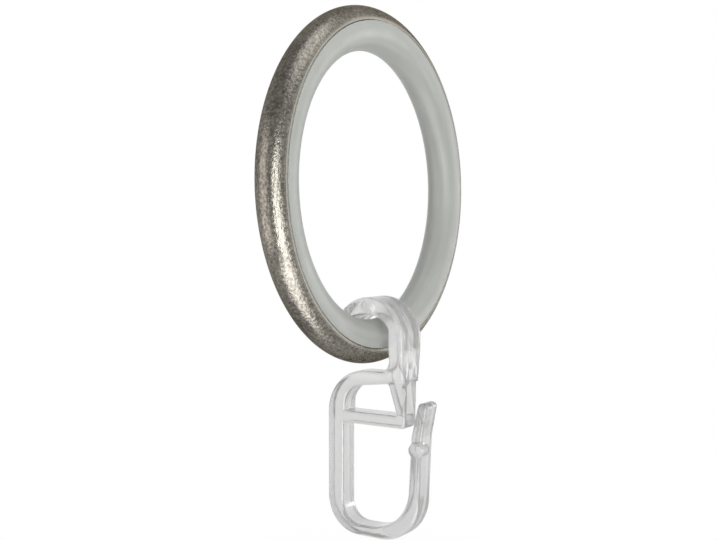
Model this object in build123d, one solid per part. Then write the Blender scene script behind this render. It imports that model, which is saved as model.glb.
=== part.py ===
from build123d import *
import math
import os

# Curtain ring with a clip-on hook, in millimetres, +Z up.
# The origin is the centre of the ring and the ring's axis is Y, along the curtain rod.
# The hook hangs at the bottom of the ring and its outline lies in the YZ plane.
# In that plane v runs along +Y and w along +Z, both from the hook's axis.

# Ring: an oval section whose widest place lies on the pitch circle
ring_radius = 20.0
bar_outer_depth = 2.5
bar_inner_depth = 2.45
bar_half_width = 2.0

# Metal shell over the outer half of the section
shell_wall = 0.6
shell_edge_rise = 0.5
shell_lip_radius = 0.22

# Plastic liner in the shell
liner_fit = 0.05
seam_gap = 0.14

# Hook's eye, which turns about the hook's axis at the bottom of the ring
hook_axis_y = -0.7
eye_clearance = 0.17
eye_wall = 1.48
eye_shift_v = -0.05
eye_shift_w = 0.48
eye_tip_drop = 1.6
eye_tip_radius = 0.56
eye_depth = 4.5
eye_edge_radius = 0.5
rib_groove_width = 0.7
rib_groove_depth = 0.2
rib_groove_spacing = 1.4
rib_groove_drop = 1.0

# Neck between the eye and the arm
neck_width = 1.95
neck_foot_depth = 3.7
neck_taper_height = 3.6
neck_lap = 1.0
neck_flare = 0.7
stem_lap = 0.2
stem_fillet = 1.6
stem_lean = 0.2

# Hook's frame: arm, leg, stem and crossbar round a small window
bar_depth = 2.7
bar_edge_radius = 0.4
hook_width = 10.5
arm_drop = 0.25
arm_thickness = 1.97
arm_rise = 0.7
arm_outer_radius = 4.9
leg_width = 2.1
window_height = 2.77
window_side_height = 0.42
window_stem_inset = 0.45
window_leg_inset = 0.19
window_corner_radius = 0.3
crossbar_corner_radius = 0.15
crossbar_height = 1.4
stem_foot_width = 1.1
foot_corner_radius = 0.55
inside_corner_radius = 0.3

# Open loop below the crossbar, with its free prong
loop_height = 12.75
loop_floor_thickness = 1.27
loop_left_outer_radius = 4.2
loop_left_inner_radius = 2.3
loop_right_outer_radius = 5.0
loop_right_inner_radius = 4.9
mouth_gap = 0.74
prong_width = 1.4
prong_foot_lean = 0.56
prong_bend_drop = 0.7
prong_bend_radius = 4.0
prong_tip_lean = 0.71
prong_tip_height = 3.77
prong_tip_radius = 0.5
prong_tip_width = 1.2

# Round pads left by the mould's ejector pins
pad_radius = 0.85
eye_pad_height = 0.06
eye_pad_offset = 0.3
prong_pad_height = 0.35
prong_pad_length = 1.6
prong_pad_offset = 0.12
prong_pad_drop = 1.4


def eye_reach():
    """Largest distance from the hook's axis to the ring's bar, within the eye's depth."""
    crown = max(bar_outer_depth, bar_inner_depth)
    distances = []
    for angle in range(0, 91):
        across = bar_half_width * math.cos(math.radians(angle)) + abs(hook_axis_y)
        along = crown * math.sin(math.radians(angle))
        distances.append(math.hypot(across, along))
    rise = bore_radius - math.sqrt(bore_radius**2 - (eye_depth / 2)**2)
    return max(distances) + rise


# Radii that follow from the sizes
pitch_radius = ring_radius - bar_outer_depth
bore_radius = pitch_radius - bar_inner_depth
shell_edge_radius = pitch_radius + shell_edge_rise
eye_inner_radius = eye_reach() + eye_clearance
eye_outer_radius = eye_inner_radius + eye_wall

# Places along v that follow from the sizes
front_v = eye_shift_v - eye_outer_radius
stem_inner_v = front_v + neck_width
stem_foot_v = front_v + stem_lean
leg_outer_v = front_v + hook_width
leg_inner_v = leg_outer_v - leg_width
window_leg_v = leg_inner_v - window_leg_inset
prong_bend_v = stem_foot_v - mouth_gap - prong_width
prong_foot_v = prong_bend_v + prong_foot_lean
prong_tip_v = prong_bend_v - prong_tip_lean

# Places along w that follow from the sizes
arm_top_w = -eye_inner_radius - arm_drop
arm_bottom_w = arm_top_w - arm_thickness
stem_top_w = arm_top_w + stem_fillet + stem_lap
neck_bottom_w = arm_top_w - neck_lap
crossbar_top_w = arm_bottom_w - window_height
foot_w = crossbar_top_w - crossbar_height
loop_bottom_w = foot_w - loop_height
floor_w = loop_bottom_w + loop_floor_thickness
prong_bend_w = foot_w - prong_bend_drop
prong_tip_w = prong_bend_w + prong_tip_height


def oval(radial, axial):
    """An oval of the ring's section, about the pitch circle."""
    return Pos(pitch_radius, 0) * Ellipse(radial, axial)


def band(inner, outer):
    """The strip of the section's plane between two radii."""
    height = 4 * bar_half_width
    return Pos((inner + outer) / 2, 0) * Rectangle(outer - inner, height)


def make_ring_shell():
    """Half-round shell with rounded lips at its two edges."""
    outside = oval(bar_outer_depth, bar_half_width)
    inside = oval(bar_outer_depth - shell_wall, bar_half_width - shell_wall)
    section = (outside - inside) & band(shell_edge_radius, ring_radius + shell_wall)
    corners = section.vertices().sort_by(Axis.X)[0:4].sort_by(Axis.Y)
    section = fillet([corners[0], corners[-1]], shell_lip_radius)
    return revolve(section, Axis.Y, 360)


def make_glide_liner():
    """Rounded inner half of the section, with a tongue that fills the shell's channel."""
    shoulder_radius = shell_edge_radius - seam_gap
    channel = shell_wall + liner_fit
    inner_half = oval(bar_inner_depth, bar_half_width) & band(bore_radius, pitch_radius)
    sides = oval(bar_outer_depth, bar_half_width) & band(pitch_radius, shoulder_radius)
    tongue = oval(bar_outer_depth - channel, bar_half_width - channel) & band(pitch_radius, ring_radius)
    return revolve(inner_half + sides + tongue, Axis.Y, 360)


def hook_plane():
    """Plane of the hook's outline."""
    return Plane(origin=(0, hook_axis_y, -pitch_radius), x_dir=(0, 1, 0), z_dir=(1, 0, 0))


def outline(corners):
    """Face inside a closed polygon whose corners are (v, w, radius)."""
    points = [(v, w) for v, w, radius in corners]
    radii = [radius for v, w, radius in corners]
    return make_face(FilletPolyline(*points, radius=radii, close=True))


def thick(face, depth):
    """The face's prism, half its depth on each side of the hook's plane."""
    return extrude(hook_plane() * face, depth / 2, both=True)


def stem_outer_v(w):
    """Outer side of the stem, a straight line from the eye's side down to the foot."""
    share = (eye_shift_w - w) / (eye_shift_w - foot_w)
    return front_v + share * (stem_foot_v - front_v)


def frame_outline():
    """Outline of the arm, leg, stem, crossbar and open loop, with the window above the crossbar."""
    blank = outline([
        (stem_outer_v(stem_top_w), stem_top_w, 0),
        (stem_foot_v, foot_w, foot_corner_radius),
        (leg_inner_v, foot_w, inside_corner_radius),
        (leg_inner_v, floor_w, loop_left_inner_radius),
        (prong_foot_v + prong_width, floor_w, loop_right_inner_radius),
        (prong_bend_v + prong_width, prong_bend_w, prong_bend_radius),
        (prong_tip_v + prong_tip_width, prong_tip_w, prong_tip_radius),
        (prong_tip_v, prong_tip_w, prong_tip_radius),
        (prong_bend_v, prong_bend_w, prong_bend_radius),
        (prong_foot_v, loop_bottom_w, loop_right_outer_radius),
        (leg_outer_v, loop_bottom_w, loop_left_outer_radius),
        (leg_outer_v, arm_top_w, arm_outer_radius),
        (stem_inner_v, arm_top_w, stem_fillet),
        (stem_inner_v, stem_top_w, 0),
    ])
    window = outline([
        (stem_inner_v + window_stem_inset, arm_bottom_w + arm_rise, window_corner_radius),
        (window_leg_v, arm_bottom_w, window_height - window_side_height),
        (window_leg_v, crossbar_top_w, crossbar_corner_radius),
        (stem_foot_v + stem_foot_width, crossbar_top_w, crossbar_corner_radius),
    ])
    return blank - window


def make_frame():
    """Arm, leg, stem, crossbar and open loop, all of one depth and with rounded edges."""
    bars = thick(frame_outline(), bar_depth)
    broad = bars.faces().filter_by(Axis.X).sort_by(Axis.X)
    return fillet(broad[0].edges() + broad[-1].edges(), bar_edge_radius)


def eye_outline():
    """Round arch over the ring's bar, with a rounded tip behind and the neck in front."""
    disc = Pos(eye_shift_v, eye_shift_w) * Circle(eye_outer_radius)
    reach = 2 * eye_outer_radius
    upper = disc & Pos(0, eye_shift_w + reach / 2) * Rectangle(2 * reach, reach)
    back = disc & Pos(reach / 2, reach / 2 - eye_tip_drop) * Rectangle(reach, reach)
    neck = outline([
        (front_v, eye_shift_w, 0),
        (stem_outer_v(neck_bottom_w), neck_bottom_w, 0),
        (stem_inner_v + stem_fillet, neck_bottom_w, 0),
        (stem_inner_v + stem_fillet, arm_top_w, 0),
        (stem_inner_v, arm_top_w, stem_fillet),
        (stem_inner_v, eye_shift_w, 0),
    ])
    neck &= Pos(stem_inner_v + neck_flare - reach / 2, 0) * Rectangle(reach, 2 * reach)
    hole = Circle(eye_inner_radius) & Pos(stem_inner_v + reach / 2, 0) * Rectangle(reach, reach)
    arch = upper + back + neck - hole
    back_corners = [corner for corner in arch.vertices() if corner.X > eye_shift_v]
    tip = ShapeList(back_corners).sort_by(Axis.Y)[0:2]
    return fillet(tip, eye_tip_radius)


def neck_taper():
    """Block as deep as the eye, which narrows in depth down the neck in front."""
    half = eye_depth / 2
    foot_half = neck_foot_depth / 2
    top = eye_shift_w + eye_outer_radius + eye_depth
    taper_top_w = neck_bottom_w + neck_taper_height
    profile = outline([
        (-half, top, 0),
        (-half, taper_top_w, 0),
        (-foot_half, neck_bottom_w, 0),
        (foot_half, neck_bottom_w, 0),
        (half, taper_top_w, 0),
        (half, top, 0),
    ])
    across = Plane(origin=(0, hook_axis_y, -pitch_radius), x_dir=(1, 0, 0), z_dir=(0, -1, 0))
    front = extrude(across * profile, 2 * eye_outer_radius)
    back = thick(Pos(eye_outer_radius, 0) * Rectangle(2 * eye_outer_radius, 2 * top), eye_depth)
    return front + back


def make_eye():
    """Eye and neck in one, with rounded edges round their broad sides."""
    solid = thick(eye_outline(), eye_depth) & neck_taper()
    broad = [face for face in solid.faces() if abs(face.normal_at().X) > 0.9]
    rims = [edge for face in broad for edge in face.edges()]
    creases = [edge for edge in rims if sum(edge == other for other in rims) > 1]
    return fillet([edge for edge in rims if edge not in creases], eye_edge_radius)


def make_rib_groove(x):
    """Round groove along the arch's outer wall, from behind its tip to a rounded end on the stem."""
    half_width = rib_groove_width / 2
    radius = (half_width**2 + rib_groove_depth**2) / (2 * rib_groove_depth)
    path_radius = eye_outer_radius + radius - rib_groove_depth
    tip_angle = -math.degrees(math.asin((eye_tip_drop + eye_shift_w) / eye_outer_radius))
    arc = CenterArc((eye_shift_v, eye_shift_w), path_radius, tip_angle, 180 - tip_angle)
    drop = Line(arc @ 1, (eye_shift_v - path_radius, eye_shift_w - rib_groove_drop))
    path = hook_plane().offset(x) * (arc + drop)
    section = Plane(origin=path @ 0, z_dir=path % 0) * Circle(radius)
    return sweep(section, path=path.wire()) + Pos(path @ 1) * Sphere(radius)


def make_pad(v, w, near, far):
    """Round ejector pad between two places along the hook's depth."""
    face = hook_plane().offset(near) * (Pos(v, w) * Circle(pad_radius))
    return extrude(face, far - near)


def make_hook():
    """One clear moulding."""
    hook = make_frame() + make_eye()
    for x in (-rib_groove_spacing / 2, rib_groove_spacing / 2):
        hook -= make_rib_groove(x)
    eye_pad_w = (eye_inner_radius + eye_shift_w + eye_outer_radius) / 2
    hook += make_pad(-eye_pad_offset, eye_pad_w, -eye_depth / 2 - eye_pad_height, 0)
    prong_pad_v = prong_bend_v + prong_width / 2 - prong_pad_offset
    prong_pad_w = prong_bend_w - prong_pad_drop
    prong_pad_x = -bar_depth / 2 - prong_pad_height
    hook += make_pad(prong_pad_v, prong_pad_w, prong_pad_x, prong_pad_x + prong_pad_length)
    return hook


parts = {
    "ring_shell": make_ring_shell(),
    "glide_liner": make_glide_liner(),
    "hook": make_hook(),
}

os.makedirs("parts", exist_ok=True)
for name, shape in parts.items():
    export_step(shape, os.path.join("parts", name + ".step"))
    print(name, "volume", round(shape.volume, 2), "solids", len(shape.solids()))
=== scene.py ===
"""Curtain ring with a clip-on hook: a brushed metal shell, a milky glide liner and a clear hook."""

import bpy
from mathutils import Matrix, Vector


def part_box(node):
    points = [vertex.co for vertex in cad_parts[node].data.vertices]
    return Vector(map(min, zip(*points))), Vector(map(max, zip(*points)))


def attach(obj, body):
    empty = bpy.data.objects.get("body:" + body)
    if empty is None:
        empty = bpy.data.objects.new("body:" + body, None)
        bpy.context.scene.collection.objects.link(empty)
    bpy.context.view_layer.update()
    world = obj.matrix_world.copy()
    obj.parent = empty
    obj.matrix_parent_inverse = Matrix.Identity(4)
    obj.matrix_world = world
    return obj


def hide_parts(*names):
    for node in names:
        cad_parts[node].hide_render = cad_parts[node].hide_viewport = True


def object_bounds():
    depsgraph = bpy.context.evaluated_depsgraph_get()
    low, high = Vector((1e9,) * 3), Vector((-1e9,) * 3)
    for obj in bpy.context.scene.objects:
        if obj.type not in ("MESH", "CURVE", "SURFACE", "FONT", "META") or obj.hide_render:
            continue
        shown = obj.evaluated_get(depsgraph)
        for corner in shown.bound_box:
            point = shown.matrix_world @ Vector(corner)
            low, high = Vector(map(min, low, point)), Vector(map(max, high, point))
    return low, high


bl_info = {
    "name": "Curtain Ring with Hook",
    "version": (1, 0, 0),
    "blender": (4, 5, 0),
    "location": "3D View > Sidebar > Curtain Ring",
    "description": "Dresses a curtain ring with a clip-on hook and sets it on a plain stage",
    "category": "Object",
}

import math

import bmesh
import bpy
from bpy.props import FloatProperty, FloatVectorProperty, IntProperty, PointerProperty
from mathutils import Matrix, Vector

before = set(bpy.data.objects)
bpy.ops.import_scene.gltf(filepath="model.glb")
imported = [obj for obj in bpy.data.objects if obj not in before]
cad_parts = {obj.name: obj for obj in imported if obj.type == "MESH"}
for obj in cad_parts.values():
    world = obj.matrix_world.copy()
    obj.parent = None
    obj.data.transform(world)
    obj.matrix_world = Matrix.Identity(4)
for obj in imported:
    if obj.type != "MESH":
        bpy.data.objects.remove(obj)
cad_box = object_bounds()

MM = 0.001
SHELL_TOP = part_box("ring_shell")[1]
LINER_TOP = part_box("glide_liner")[1]

# Mesh settings

RING_SHARP_ANGLE = math.radians(50.0)
RING_MERGE = 1e-7
LIP_SEGMENTS = 5
LIP_PROFILE = 0.5
RING_PLANE = (1.0, 0.0, 1.0)
HOOK_SHARP_ANGLE = math.radians(40.0)
HOOK_MERGE = 2e-6

# Finish settings: heights and tones are shares, and a span is where a change starts and ends

NOISE_SPAN = (0.3, 0.7)

GRAIN_HEIGHT = 0.8
SCRATCH_HEIGHT = 0.4
PATCH_TONE = 0.4
GRAIN_TONE = 0.6
NICKEL_DARK_AT = 0.36
NICKEL_LIGHT_AT = 0.66
NICKEL_ROUGHNESS = (0.19, 0.33)
LIP_SPAN = (0.12 * MM, 0.55 * MM)
LIP_GRAIN = (0.1, 1.0)
LIP_GLINT = (0.95, 0.93, 0.89, 1.0)
GRAIN_GLINT = (0.40, 0.37, 0.33, 1.0)

STREAK_TONE = 0.6
CLOUD_TONE = 0.4
MILKY_SHADE_AT = 0.36
MILKY_AT = 0.64
STREAK_HEIGHT = 0.5
LINER_ROUGHNESS = (0.36, 0.48)

CLEAR_IOR = 1.49
CLEAR_ROUGHNESS = (0.17, 0.205)
RIPPLE_HEIGHT = 0.18
TORN_HEIGHT = 8.0
PRONG_HEAD_Y = (-6.0 * MM, -6.3 * MM)
PRONG_HEAD_Z = (-26.9 * MM, -26.1 * MM)
EYE_Z = (-22.0 * MM, -21.8 * MM)
EYE_ROUGHNESS = 0.055
# The eye's lighter tint is painted light: it brightens the thick eye, which its depth and
# refraction render darker than the bars.
BAR_TINT = (0.75, 0.75, 0.75, 1.0)
EYE_PAINTED_LIGHT_TINT = (0.83, 0.83, 0.83, 1.0)

# Stage settings: lengths in metres, lamp powers in watts. A lamp that doesn't scatter shows
# in reflections only, and one that doesn't mirror gives soft light only.

WHITE = (1.0, 1.0, 1.0, 1.0)
FLOOR_RADIUS = 0.1
FLOOR_SEGMENTS = 64
FLOOR_SHARP_ANGLE = math.radians(30.0)
FLOOR_FADE = (0.045, 0.095)
FLOOR_WHITE = (0.55, 1.0)
FLOOR_WEAR = 0.96
BRIGHT_SIDE = (0.745, 0.298, -0.596)
BRIGHT_SPAN = (-0.7, 0.8)
BRIGHT_LEVEL = (0.32, 0.9)
WALL_SIDE = (0.864, -0.504, 0.0)
WALL_SPAN = (0.55, 0.95)
CAMERA_TURN = math.radians(-57.0)
CAMERA_RISE = math.radians(2.0)
CAMERA_PLACE = (-0.0960, -0.0605, -0.00551)
CAMERA_NEAR = 0.005
SENSOR_WIDTH = 36.0
LAMPS = (
    {
        "name": "strip_light",
        "place": (-0.353, -0.485, -0.16),
        "size": (0.27, 0.66),
        "power": 2.5,
        "colour": (0.97, 1.0, 0.97),
    },
    {
        "name": "low_light",
        "place": (-0.055, -0.095, -0.056),
        "size": (0.05, 0.18),
        "power": 0.075,
        "target": (-0.0547, -0.0941, 0.0),
        "scatters": False,
    },
    {
        "name": "side_light",
        "place": (-0.54, 0.24, -0.08),
        "size": (0.60, 0.80),
        "power": 1.6,
        "colour": (1.0, 0.95, 0.93),
        "scatters": False,
    },
    {
        "name": "top_light",
        "place": (0.05, -0.36, 0.55),
        "size": (0.45, 0.45),
        "power": 0.7,
    },
    {
        "name": "back_light",
        "place": (0.25, 0.50, 0.05),
        "size": (0.50, 0.50),
        "power": 1.8,
        "mirrors": False,
    },
    {
        "name": "rim_light",
        "place": (0.43, -0.256, -0.0165),
        "size": (0.14, 0.10),
        "power": 0.2,
        "target": (0.0, 0.0, -0.02),
        "scatters": False,
    },
)


# Property groups


def length_property(name, description, default):
    """Length in metres."""
    return FloatProperty(
        name=name, description=description, default=default, unit="LENGTH", precision=5
    )


def colour_property(name, description, default):
    """Colour, from its three parts."""
    return FloatVectorProperty(
        name=name,
        description=description,
        subtype="COLOR",
        size=4,
        min=0.0,
        max=1.0,
        default=(*default, 1.0),
    )


class RingSizes(bpy.types.PropertyGroup):
    """Section of the ring that the shell and the liner share"""

    outer_radius: length_property(
        "Outer radius", "From the ring's centre to the outside of the metal shell", SHELL_TOP[0]
    )
    half_width: length_property(
        "Half width", "Half of the ring's width along the curtain rod", LINER_TOP[1]
    )
    outer_depth: length_property(
        "Outer depth", "Depth of the section outside its widest place", 2.5 * MM
    )
    inner_depth: length_property(
        "Inner depth", "Depth of the section inside its widest place", 2.45 * MM
    )
    edge_rise: length_property(
        "Shell edge", "How far outside the widest place the shell's edges lie", 0.7 * MM
    )
    seam: length_property(
        "Seam", "Open seam between the shell's edge and the liner's shoulder", 0.02 * MM
    )
    shell_wall: length_property("Shell wall", "Thickness of the metal shell", 0.6 * MM)
    lip_radius: length_property("Lip radius", "Rounding of the shell's rolled edges", 0.34 * MM)
    steps: IntProperty(
        name="Steps",
        description="Steps round the ring",
        default=288,
        min=48,
        max=360,
    )
    section_points: IntProperty(
        name="Section points",
        description="Points round the ring's oval section",
        default=96,
        min=32,
        max=128,
    )


class FinishColours(bpy.types.PropertyGroup):
    """Colours of the three materials and clearness of the hook"""

    nickel_light: colour_property(
        "Nickel, light", "Lighter tone of the brushed metal", (0.47, 0.447, 0.390)
    )
    nickel_dark: colour_property(
        "Nickel, dark", "Darker tone of the brushed metal", (0.160, 0.144, 0.128)
    )
    nickel_polished: colour_property(
        "Nickel, polished", "Tone of the shell's polished edges", (0.47, 0.45, 0.395)
    )
    milky: colour_property("Milky plastic", "Colour of the glide liner", (0.535, 0.541, 0.517))
    milky_shade: colour_property(
        "Milky plastic, shade", "Darker flow streaks of the glide liner", (0.455, 0.461, 0.442)
    )
    clear_tint: colour_property(
        "Clear plastic", "Colour that light takes on inside the hook", (0.80, 0.80, 0.80)
    )
    clear_density: FloatProperty(
        name="Clear plastic density",
        description="How strongly the hook's plastic dims light, for each metre of path",
        default=30.0,
        min=0.0,
    )


class StageSettings(bpy.types.PropertyGroup):
    """Floor, light and camera"""

    floor_drop: length_property(
        "Floor drop", "Gap between the bottom of the hook and the floor", 20.0 * MM
    )
    floor_colour: colour_property("Floor colour", "Colour of the plain floor", (0.82, 0.82, 0.82))
    room_light: FloatProperty(
        name="Room light",
        description="Strength of the even light from all sides",
        default=0.42,
        min=0.0,
    )
    lens: FloatProperty(
        name="Lens",
        description="Focal length of the camera",
        default=50.28,
        unit="CAMERA",
    )


# Nodes


def add_node(tree, kind, inputs=(), **settings):
    """New node with its settings, and its inputs by number or name."""
    node = tree.nodes.new(kind)
    for name, value in settings.items():
        setattr(node, name, value)
    for key, value in dict(inputs).items():
        if isinstance(value, bpy.types.NodeSocket):
            tree.links.new(value, node.inputs[key])
        else:
            node.inputs[key].default_value = value
    return node


def new_material(name):
    """Empty node material and its tree."""
    material = bpy.data.materials.new(name)
    material.use_nodes = True
    material.node_tree.nodes.clear()
    return material, material.node_tree


def object_place(tree):
    """Place on the piece, as a socket."""
    return add_node(tree, "ShaderNodeTexCoord").outputs["Object"]


def add_math(tree, operation, first, second=0.0):
    """One calculation, as a socket."""
    return add_node(tree, "ShaderNodeMath", {0: first, 1: second}, operation=operation).outputs[0]


def add_shares(tree, first, first_share, second, second_share):
    """Sum of two values, each times its share, as a socket."""
    return add_math(
        tree,
        "ADD",
        add_math(tree, "MULTIPLY", first, first_share),
        add_math(tree, "MULTIPLY", second, second_share),
    )


def add_length(tree, vector):
    """Length of a vector, as a socket."""
    node = add_node(tree, "ShaderNodeVectorMath", {0: vector}, operation="LENGTH")
    return node.outputs["Value"]


def add_facing(tree, direction, side):
    """How far a direction turns towards a side, as a socket."""
    node = add_node(tree, "ShaderNodeVectorMath", {0: direction, 1: side}, operation="DOT_PRODUCT")
    return node.outputs["Value"]


def add_noise(tree, vector, scale, detail, roughness=0.5):
    """Noise, as a socket."""
    return add_node(
        tree,
        "ShaderNodeTexNoise",
        {"Vector": vector, "Scale": scale, "Detail": detail, "Roughness": roughness},
    ).outputs[0]


def add_range(tree, value, span, result=(0.0, 1.0), interpolation="LINEAR"):
    """Value read over a span and brought to the span of the result, as a socket."""
    return add_node(
        tree,
        "ShaderNodeMapRange",
        {
            "Value": value,
            "From Min": span[0],
            "From Max": span[1],
            "To Min": result[0],
            "To Max": result[1],
        },
        interpolation_type=interpolation,
    ).outputs[0]


def add_ramp(tree, factor, stops):
    """Colour ramp from (place, colour) stops, as a socket."""
    node = add_node(tree, "ShaderNodeValToRGB", {0: factor})
    elements = node.color_ramp.elements
    while len(elements) < len(stops):
        elements.new(1.0)
    for element, (place, colour) in zip(elements, stops):
        element.position = place
        element.color = colour
    return node.outputs[0]


def add_bump(tree, height, strength, distance):
    """Relief from a height, as a socket."""
    return add_node(
        tree, "ShaderNodeBump", {"Strength": strength, "Distance": distance, "Height": height}
    ).outputs[0]


def seen_or_refracted(tree):
    """Light path node, and whether its ray is seen straight or through the clear hook."""
    rays = add_node(tree, "ShaderNodeLightPath")
    seen = add_math(
        tree, "MAXIMUM", rays.outputs["Is Camera Ray"], rays.outputs["Is Transmission Ray"]
    )
    return rays, seen


def ring_coordinates(tree, along, across):
    """Coordinates that run round the ring and round its section, each with its own scale."""
    sizes = bpy.context.scene.curtain_ring_sizes
    pitch = sizes.outer_radius - sizes.outer_depth
    split = add_node(tree, "ShaderNodeSeparateXYZ", {0: object_place(tree)})
    x, y, z = split.outputs
    turn = add_math(tree, "ARCTAN2", x, z)
    flat = add_node(tree, "ShaderNodeCombineXYZ", {0: x, 2: z}).outputs[0]
    height = add_math(tree, "SUBTRACT", add_length(tree, flat), pitch)
    roll = add_math(tree, "ARCTAN2", y, height)
    round_ring = add_math(tree, "MULTIPLY", turn, pitch * along)
    round_section = add_math(tree, "MULTIPLY", roll, sizes.half_width * across)
    return add_node(tree, "ShaderNodeCombineXYZ", {0: round_ring, 1: round_section}).outputs[0]


def smooth_lip(tree):
    """Share of the grain, which runs out towards the shell's polished edges."""
    sizes = bpy.context.scene.curtain_ring_sizes
    edge = sizes.outer_radius - sizes.outer_depth + sizes.edge_rise
    flat = add_node(
        tree,
        "ShaderNodeVectorMath",
        {0: object_place(tree), 1: RING_PLANE},
        operation="MULTIPLY",
    ).outputs[0]
    span = (edge + LIP_SPAN[0], edge + LIP_SPAN[1])
    return add_range(tree, add_length(tree, flat), span, LIP_GRAIN, "SMOOTHSTEP")


# Meshes


def ring_section(bm, outer_depth, inner_depth):
    """Closed oval of the ring's section, in the XY plane, and the radius of its widest place."""
    sizes = bpy.context.scene.curtain_ring_sizes
    pitch = sizes.outer_radius - sizes.outer_depth
    bmesh.ops.create_circle(bm, cap_ends=False, radius=1.0, segments=sizes.section_points)
    for vert in bm.verts:
        depth = outer_depth if vert.co.x > 0.0 else inner_depth
        vert.co = Vector((pitch + vert.co.x * depth, vert.co.y * sizes.half_width, 0.0))
    return pitch


def cut_section(bm, radius, **cleared):
    """Section cut at a radius, with the side named in the settings taken off."""
    bmesh.ops.bisect_plane(
        bm,
        geom=bm.verts[:] + bm.edges[:],
        plane_co=(radius, 0.0, 0.0),
        plane_no=(1.0, 0.0, 0.0),
        **cleared,
    )


def spin_round(bm):
    """Full turn of all that is in the bmesh about the ring's axis."""
    sizes = bpy.context.scene.curtain_ring_sizes
    bmesh.ops.spin(
        bm,
        geom=bm.verts[:] + bm.edges[:],
        cent=(0.0, 0.0, 0.0),
        axis=(0.0, 1.0, 0.0),
        angle=2.0 * math.pi,
        steps=sizes.steps,
        use_merge=True,
    )
    bmesh.ops.remove_doubles(bm, verts=bm.verts, dist=RING_MERGE)


def finish_mesh(bm, name, sharp_angle):
    """Object from the bmesh, with smooth faces that stay sharp past an angle."""
    mesh = bpy.data.meshes.new(name)
    bm.to_mesh(mesh)
    bm.free()
    mesh.polygons.foreach_set("use_smooth", [True] * len(mesh.polygons))
    mesh.set_sharp_from_angle(angle=sharp_angle)
    piece = bpy.data.objects.new(name, mesh)
    bpy.context.scene.collection.objects.link(piece)
    return piece


# Materials


def brushed_nickel():
    """Brushed nickel with short scratches, a sparkling grain and polished edges."""
    colours = bpy.context.scene.curtain_ring_colours
    material, tree = new_material("brushed_nickel")
    place = object_place(tree)
    strokes = ring_coordinates(tree, along=1500.0, across=7000.0)
    grain = add_noise(tree, place, scale=3300.0, detail=2.0, roughness=0.55)
    scratch = add_noise(tree, strokes, scale=1.0, detail=3.0, roughness=0.65)
    patches = add_noise(tree, place, scale=160.0, detail=3.0, roughness=0.55)
    grain_share = smooth_lip(tree)
    relief = add_shares(tree, grain, GRAIN_HEIGHT, scratch, SCRATCH_HEIGHT)
    relief = add_math(tree, "MULTIPLY", relief, grain_share)
    tone = add_shares(tree, patches, PATCH_TONE, grain, GRAIN_TONE)
    brushed = add_ramp(
        tree,
        tone,
        [(NICKEL_DARK_AT, colours.nickel_dark), (NICKEL_LIGHT_AT, colours.nickel_light)],
    )
    # In a colour mix, input 0 is the share, 6 and 7 are the colours and output 2 is the result
    colour = add_node(
        tree,
        "ShaderNodeMix",
        {0: grain_share, 6: colours.nickel_polished, 7: brushed},
        data_type="RGBA",
    ).outputs[2]
    glint = add_ramp(tree, grain_share, list(zip(LIP_GRAIN, (LIP_GLINT, GRAIN_GLINT))))
    shader = add_node(
        tree,
        "ShaderNodeBsdfPrincipled",
        {
            "Base Color": colour,
            "Metallic": 1.0,
            "Roughness": add_range(tree, scratch, NOISE_SPAN, NICKEL_ROUGHNESS),
            "Normal": add_bump(tree, relief, strength=0.54, distance=0.10 * MM),
            "Specular Tint": glint,
        },
    ).outputs[0]
    add_node(tree, "ShaderNodeOutputMaterial", {"Surface": shader})
    return material


def milky_plastic():
    """Milky liner plastic with faint clouds, and flow streaks round the ring."""
    colours = bpy.context.scene.curtain_ring_colours
    material, tree = new_material("milky_plastic")
    place = object_place(tree)
    flow = ring_coordinates(tree, along=60.0, across=1400.0)
    streaks = add_noise(tree, flow, scale=1.0, detail=2.0)
    clouds = add_noise(tree, place, scale=190.0, detail=2.0, roughness=0.55)
    haze = add_noise(tree, place, scale=900.0, detail=3.0, roughness=0.6)
    tone = add_shares(tree, streaks, STREAK_TONE, clouds, CLOUD_TONE)
    colour = add_ramp(
        tree, tone, [(MILKY_SHADE_AT, colours.milky_shade), (MILKY_AT, colours.milky)]
    )
    relief = add_math(tree, "ADD", haze, add_math(tree, "MULTIPLY", streaks, STREAK_HEIGHT))
    shader = add_node(
        tree,
        "ShaderNodeBsdfPrincipled",
        {
            "Base Color": colour,
            "Roughness": add_range(tree, haze, NOISE_SPAN, LINER_ROUGHNESS),
            "Normal": add_bump(tree, relief, strength=0.12, distance=0.1 * MM),
            "IOR": 1.46,
            "Subsurface Weight": 0.35,
            "Subsurface Radius": (1.0, 1.0, 0.95),
            "Subsurface Scale": 0.8 * MM,
        },
    ).outputs[0]
    add_node(tree, "ShaderNodeOutputMaterial", {"Surface": shader})
    return material


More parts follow.
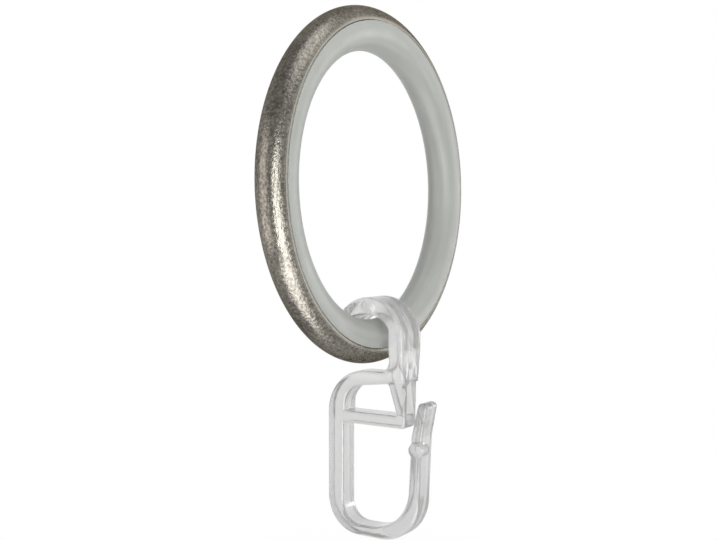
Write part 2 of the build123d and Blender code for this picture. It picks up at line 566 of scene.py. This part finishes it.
def clear_plastic():
    """Clear moulded plastic with a slight ripple, a hazier eye brightened by a painted lighter
    tint, and a rough, torn prong head.
    """
    colours = bpy.context.scene.curtain_ring_colours
    material, tree = new_material("clear_plastic")
    place = object_place(tree)
    wave = add_noise(tree, place, scale=420.0, detail=1.0)
    ripple = add_noise(tree, place, scale=1700.0, detail=2.0, roughness=0.6)
    _, y, z = add_node(tree, "ShaderNodeSeparateXYZ", {0: place}).outputs
    eye = add_range(tree, z, EYE_Z)
    prong_head = add_math(
        tree, "MULTIPLY", add_range(tree, y, PRONG_HEAD_Y), add_range(tree, z, PRONG_HEAD_Z)
    )
    torn = add_math(tree, "MULTIPLY", prong_head, TORN_HEIGHT)
    ripple_height = add_math(tree, "ADD", RIPPLE_HEIGHT, torn)
    relief = add_math(tree, "ADD", wave, add_math(tree, "MULTIPLY", ripple, ripple_height))
    roughness = add_math(
        tree,
        "ADD",
        add_range(tree, ripple, NOISE_SPAN, CLEAR_ROUGHNESS),
        add_math(tree, "MULTIPLY", eye, EYE_ROUGHNESS),
    )
    shader = add_node(
        tree,
        "ShaderNodeBsdfPrincipled",
        {
            # The eye's lighter tint here is painted light, lifting the eye that its depth and
            # refraction darken.
            "Base Color": add_ramp(tree, eye, [(0.0, BAR_TINT), (1.0, EYE_PAINTED_LIGHT_TINT)]),
            "Roughness": roughness,
            "Normal": add_bump(tree, relief, strength=0.25, distance=0.12 * MM),
            "IOR": CLEAR_IOR,
            "Transmission Weight": 0.85,
            "Specular IOR Level": 0.25,
            "Coat Weight": 0.6,
            "Coat Roughness": 0.16,
            "Coat IOR": CLEAR_IOR,
        },
    ).outputs[0]
    inside = add_node(
        tree,
        "ShaderNodeVolumeAbsorption",
        {"Color": tuple(colours.clear_tint), "Density": colours.clear_density},
    ).outputs[0]
    add_node(tree, "ShaderNodeOutputMaterial", {"Surface": shader, "Volume": inside})
    return material


def floor_paint():
    """Plain pale floor that keeps a shadow near the object and runs out to white."""
    stage = bpy.context.scene.curtain_ring_stage
    material, tree = new_material("pale_floor")
    place = object_place(tree)
    grain = add_noise(tree, place, scale=60.0, detail=3.0)
    pale = tuple(stage.floor_colour)
    worn = (pale[0] * FLOOR_WEAR, pale[1] * FLOOR_WEAR, pale[2] * FLOOR_WEAR, 1.0)
    colour = add_ramp(tree, grain, list(zip(NOISE_SPAN, (worn, pale))))
    paint = add_node(tree, "ShaderNodeBsdfDiffuse", {"Color": colour}).outputs[0]
    white = add_node(tree, "ShaderNodeEmission", {"Color": WHITE, "Strength": 1.0}).outputs[0]
    fade = add_range(tree, add_length(tree, place), FLOOR_FADE, FLOOR_WHITE, "SMOOTHSTEP")
    _, seen = seen_or_refracted(tree)
    share = add_math(tree, "MULTIPLY", fade, seen)
    surface = add_node(tree, "ShaderNodeMixShader", {0: share, 1: paint, 2: white}).outputs[0]
    add_node(tree, "ShaderNodeOutputMaterial", {"Surface": surface})
    return material


# Operators


class CURTAINRING_OT_ring_shell(bpy.types.Operator):
    """Make the brushed metal shell"""

    bl_idname = "curtainring.ring_shell"
    bl_label = "Ring Shell"

    def execute(self, context):
        sizes = context.scene.curtain_ring_sizes
        bm = bmesh.new()
        pitch = ring_section(bm, sizes.outer_depth, sizes.outer_depth)
        cut_section(bm, pitch + sizes.edge_rise, clear_inner=True)
        spin_round(bm)
        bmesh.ops.recalc_face_normals(bm, faces=bm.faces)
        rim = [edge for edge in bm.edges if edge.is_boundary]
        bmesh.ops.solidify(bm, geom=bm.faces[:], thickness=sizes.shell_wall)
        bmesh.ops.recalc_face_normals(bm, faces=bm.faces)
        rim = [edge for edge in rim if edge.is_valid]
        bmesh.ops.bevel(
            bm,
            geom=rim,
            offset=sizes.lip_radius,
            offset_type="OFFSET",
            affect="EDGES",
            segments=LIP_SEGMENTS,
            profile=LIP_PROFILE,
            material=-1,
        )
        piece = finish_mesh(bm, "metal_shell", RING_SHARP_ANGLE)
        piece.data.materials.append(brushed_nickel())
        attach(piece, "ring")
        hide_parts("ring_shell")
        return {"FINISHED"}


class CURTAINRING_OT_glide_liner(bpy.types.Operator):
    """Make the milky plastic liner that glides on the rod"""

    bl_idname = "curtainring.glide_liner"
    bl_label = "Glide Liner"

    def execute(self, context):
        sizes = context.scene.curtain_ring_sizes
        bm = bmesh.new()
        pitch = ring_section(bm, sizes.outer_depth, sizes.inner_depth)
        cut_section(bm, pitch + sizes.edge_rise - sizes.seam, clear_outer=True)
        spin_round(bm)
        bmesh.ops.bridge_loops(bm, edges=[edge for edge in bm.edges if edge.is_boundary])
        bmesh.ops.recalc_face_normals(bm, faces=bm.faces)
        piece = finish_mesh(bm, "liner", RING_SHARP_ANGLE)
        piece.data.materials.append(milky_plastic())
        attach(piece, "ring")
        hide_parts("glide_liner")
        return {"FINISHED"}


class CURTAINRING_OT_hook(bpy.types.Operator):
    """Make the clear hook"""

    bl_idname = "curtainring.hook"
    bl_label = "Hook"

    def execute(self, context):
        bm = bmesh.new()
        bm.from_mesh(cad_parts["hook"].data)
        bmesh.ops.remove_doubles(bm, verts=bm.verts, dist=HOOK_MERGE)
        piece = finish_mesh(bm, "clear_hook", HOOK_SHARP_ANGLE)
        piece.data.materials.clear()
        piece.data.materials.append(clear_plastic())
        even = piece.modifiers.new("even_normals", "WEIGHTED_NORMAL")
        even.keep_sharp = True
        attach(piece, "hook")
        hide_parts("hook")
        return {"FINISHED"}


class CURTAINRING_OT_stage(bpy.types.Operator):
    """Set the floor, the light and the camera"""

    bl_idname = "curtainring.stage"
    bl_label = "Stage"

    def add_floor(self, context):
        """Round floor below the hook."""
        stage = context.scene.curtain_ring_stage
        height = cad_box[0][2] - stage.floor_drop
        bm = bmesh.new()
        bmesh.ops.create_circle(bm, cap_ends=True, radius=FLOOR_RADIUS, segments=FLOOR_SEGMENTS)
        bmesh.ops.translate(bm, verts=bm.verts, vec=(0.0, 0.0, height))
        floor = finish_mesh(bm, "floor", FLOOR_SHARP_ANGLE)
        floor.data.materials.append(floor_paint())

    def add_world(self, context):
        """White room: plain white where it is seen, with darker sides in mirrored light."""
        stage = context.scene.curtain_ring_stage
        world = bpy.data.worlds.new("white_room")
        context.scene.world = world
        world.use_nodes = True
        tree = world.node_tree
        tree.nodes.clear()
        direction = add_node(tree, "ShaderNodeTexCoord").outputs["Generated"]
        rays, seen = seen_or_refracted(tree)
        glossy = rays.outputs["Is Glossy Ray"]
        bright = add_facing(tree, direction, BRIGHT_SIDE)
        bright = add_range(tree, bright, BRIGHT_SPAN, BRIGHT_LEVEL, "SMOOTHSTEP")
        pale_wall = add_facing(tree, direction, WALL_SIDE)
        pale_wall = add_range(tree, pale_wall, WALL_SPAN, interpolation="SMOOTHSTEP")
        mirrored = add_math(tree, "MAXIMUM", bright, pale_wall)
        shown = add_math(tree, "MAXIMUM", seen, add_math(tree, "MULTIPLY", glossy, mirrored))
        lit = add_math(tree, "SUBTRACT", 1.0, add_math(tree, "MAXIMUM", seen, glossy))
        room = add_math(tree, "MULTIPLY", lit, stage.room_light)
        strength = add_math(tree, "ADD", shown, room)
        background = add_node(
            tree, "ShaderNodeBackground", {"Color": WHITE, "Strength": strength}
        ).outputs[0]
        add_node(tree, "ShaderNodeOutputWorld", {"Surface": background})

    def add_lamp(
        self,
        context,
        name,
        place,
        size,
        power,
        target=(0.0, 0.0, 0.0),
        colour=(1.0, 1.0, 1.0),
        scatters=True,
        mirrors=True,
    ):
        """Flat lamp that isn't seen through the clear hook, where it would burn out to white."""
        lamp = bpy.data.lights.new(name, "AREA")
        lamp.shape = "RECTANGLE"
        lamp.size, lamp.size_y = size
        lamp.energy = power
        lamp.color = colour
        holder = bpy.data.objects.new(name, lamp)
        holder.location = place
        aim = Vector(target) - Vector(place)
        holder.rotation_euler = aim.to_track_quat("-Z", "Y").to_euler()
        holder.visible_transmission = False
        holder.visible_diffuse = scatters
        holder.visible_glossy = mirrors
        context.scene.collection.objects.link(holder)

    def add_camera(self, context):
        """Camera to the left of the ring's front, looking a little downwards."""
        stage = context.scene.curtain_ring_stage
        right = Vector((math.cos(CAMERA_TURN), math.sin(CAMERA_TURN), 0.0))
        back = Vector(
            (
                math.sin(CAMERA_TURN) * math.cos(CAMERA_RISE),
                -math.cos(CAMERA_TURN) * math.cos(CAMERA_RISE),
                math.sin(CAMERA_RISE),
            )
        )
        up = back.cross(right)
        camera = bpy.data.cameras.new("camera")
        camera.sensor_width = SENSOR_WIDTH
        camera.lens = stage.lens
        camera.clip_start = CAMERA_NEAR
        holder = bpy.data.objects.new("camera", camera)
        holder.rotation_euler = Matrix((right, up, back)).transposed().to_euler()
        holder.location = CAMERA_PLACE
        context.scene.collection.objects.link(holder)
        context.scene.camera = holder

    def execute(self, context):
        self.add_floor(context)
        self.add_world(context)
        for lamp in LAMPS:
            self.add_lamp(context, **lamp)
        self.add_camera(context)
        context.scene.view_settings.view_transform = "Standard"
        return {"FINISHED"}


# Panel and registration


class CURTAINRING_PT_panel(bpy.types.Panel):
    """Lists the pieces of the curtain ring"""

    bl_idname = "CURTAINRING_PT_panel"
    bl_label = "Curtain Ring"
    bl_space_type = "VIEW_3D"
    bl_region_type = "UI"
    bl_category = "Curtain Ring"

    def draw(self, context):
        layout = self.layout
        for operator in OPERATORS:
            layout.operator(operator.bl_idname)
        for name in GROUPS:
            group = getattr(context.scene, name)
            box = layout.box()
            for key in group.__annotations__:
                box.prop(group, key)


OPERATORS = (
    CURTAINRING_OT_ring_shell,
    CURTAINRING_OT_glide_liner,
    CURTAINRING_OT_hook,
    CURTAINRING_OT_stage,
)

GROUPS = {
    "curtain_ring_sizes": RingSizes,
    "curtain_ring_colours": FinishColours,
    "curtain_ring_stage": StageSettings,
}


def register():
    for name, group in GROUPS.items():
        bpy.utils.register_class(group)
        setattr(bpy.types.Scene, name, PointerProperty(type=group))
    for operator in OPERATORS:
        bpy.utils.register_class(operator)
    bpy.utils.register_class(CURTAINRING_PT_panel)


def unregister():
    bpy.utils.unregister_class(CURTAINRING_PT_panel)
    for operator in reversed(OPERATORS):
        bpy.utils.unregister_class(operator)
    for name, group in GROUPS.items():
        delattr(bpy.types.Scene, name)
        bpy.utils.unregister_class(group)


def main():
    register()
    bpy.ops.curtainring.ring_shell()
    bpy.ops.curtainring.glide_liner()
    bpy.ops.curtainring.hook()
    bpy.ops.curtainring.stage()


if __name__ == "__main__":
    main()
